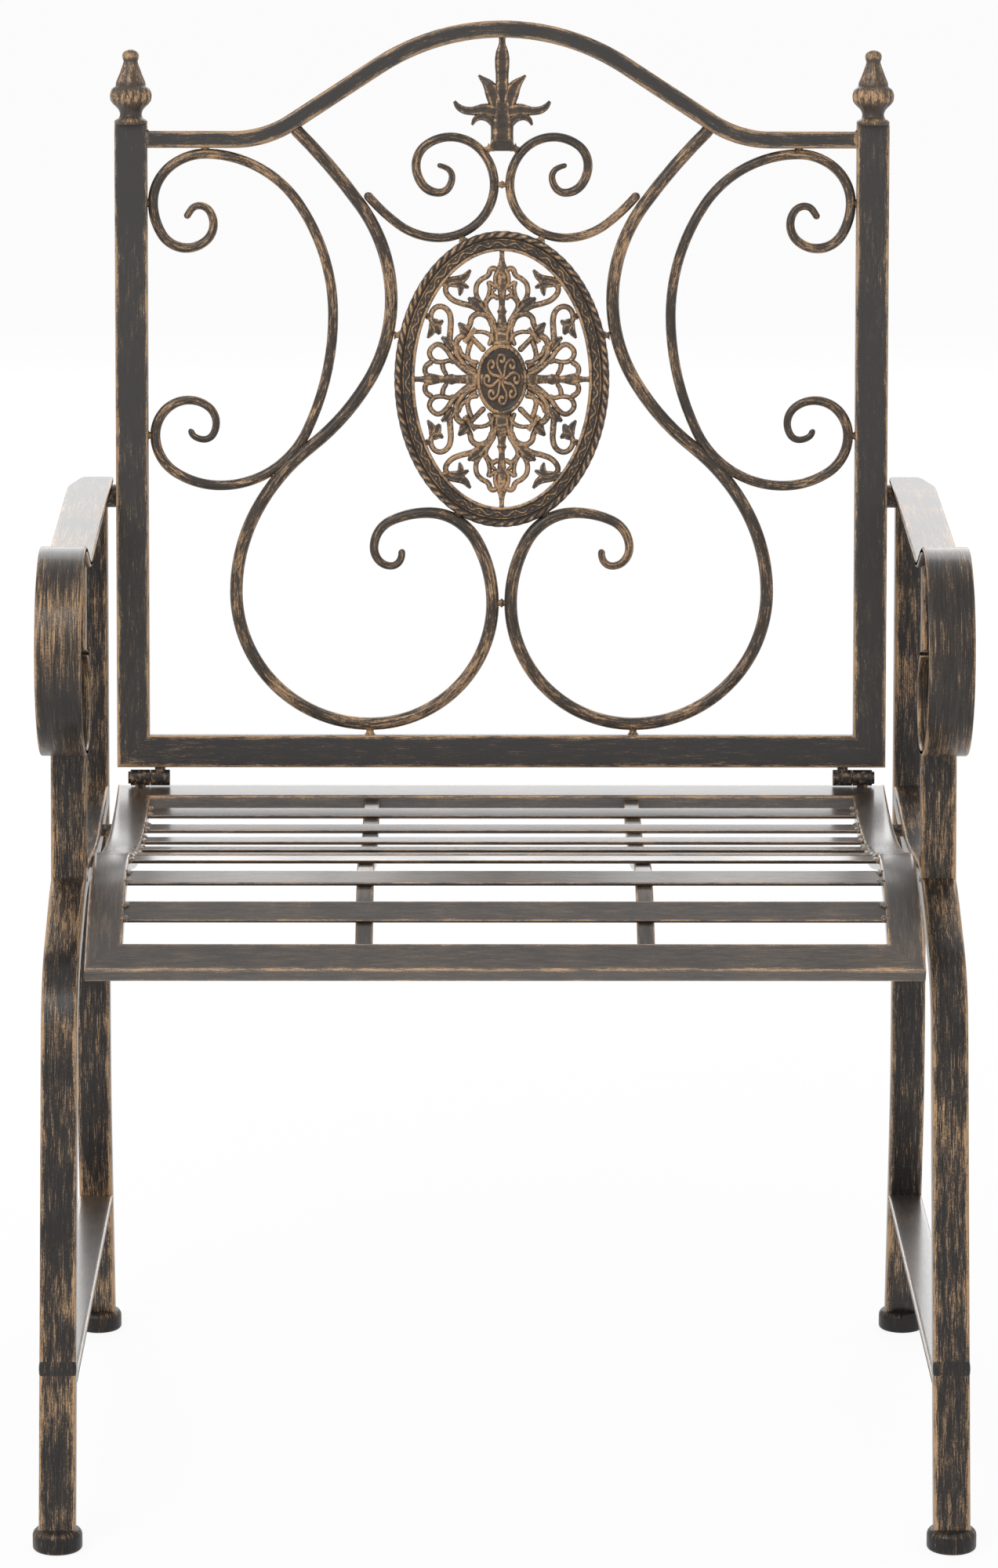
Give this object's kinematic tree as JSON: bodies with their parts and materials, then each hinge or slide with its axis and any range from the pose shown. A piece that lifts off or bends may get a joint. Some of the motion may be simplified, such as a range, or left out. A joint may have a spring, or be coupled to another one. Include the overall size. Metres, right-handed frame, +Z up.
{
  "type": "garden armchair",
  "caption": "Wrought-iron style garden armchair with slatted rolled seat, scroll arms and a folding openwork back with an oval medallion and finials.",
  "frame": {"origin": "on the floor, under the middle of the chair's bounding box", "axes": "+X to the right of the picture, +Y from the front of the chair to its back, +Z up"},
  "size_m": [0.644, 0.577, 0.9877],
  "materials": {
    "brushed_iron": "black semi-gloss paint hand-brushed with antique copper",
    "cast_ornament": "cast relief, black with copper rubbed over the high spots",
    "foot_plastic": "black moulded plastic with a little copper brushing",
    "black_hardware": "black paint"
  },
  "bodies": {
    "frame": {"arm_left": "brushed_iron", "arm_right": "brushed_iron", "back_stop_left": "black_hardware", "back_stop_right": "black_hardware", "foot_cap_front_left": "foot_plastic", "foot_cap_front_right": "foot_plastic", "foot_cap_rear_left": "foot_plastic", "foot_cap_rear_right": "foot_plastic", "front_leg_left": "brushed_iron", "front_leg_right": "brushed_iron", "front_post_left": "brushed_iron", "front_post_right": "brushed_iron", "hinge_barrel_seat_left": "brushed_iron", "hinge_barrel_seat_right": "brushed_iron", "hinge_pin_left": "black_hardware", "hinge_pin_right": "black_hardware", "rear_leg_left": "brushed_iron", "rear_leg_right": "brushed_iron", "seat_bolts": "black_hardware", "seat_front_rail": "brushed_iron", "seat_rear_rail": "brushed_iron", "seat_side_rail_left": "brushed_iron", "seat_side_rail_right": "brushed_iron", "seat_slat_1": "brushed_iron", "seat_slat_2": "brushed_iron", "seat_slat_3": "brushed_iron", "seat_slat_4": "brushed_iron", "seat_slat_5": "brushed_iron", "seat_slat_6": "brushed_iron", "seat_slat_7": "brushed_iron", "seat_slat_8": "brushed_iron", "seat_slat_9": "brushed_iron", "seat_spacers": "black_hardware", "seat_support_bar_left": "brushed_iron", "seat_support_bar_right": "brushed_iron", "side_stretcher_left": "brushed_iron", "side_stretcher_right": "brushed_iron"},
    "back": {"back_bottom_rail": "brushed_iron", "back_post_left": "brushed_iron", "back_post_right": "brushed_iron", "back_top_rail": "brushed_iron", "finial_left": "cast_ornament", "finial_right": "cast_ornament", "fleur_ornament": "cast_ornament", "hinge_barrel_back_left": "brushed_iron", "hinge_barrel_back_right": "brushed_iron", "lyre_rod_left": "brushed_iron", "lyre_rod_right": "brushed_iron", "oval_medallion": "cast_ornament", "side_scroll_left": "brushed_iron", "side_scroll_right": "brushed_iron", "volute_left": "brushed_iron", "volute_right": "brushed_iron"}
  },
  "joints": [
    {"name": "back_fold", "type": "hinge", "parent": "frame", "child": "back", "pos_m": [0, 0.21171, 0.4325], "axis": [1, 0, 0], "range_deg": [0, 93]}
  ]
}
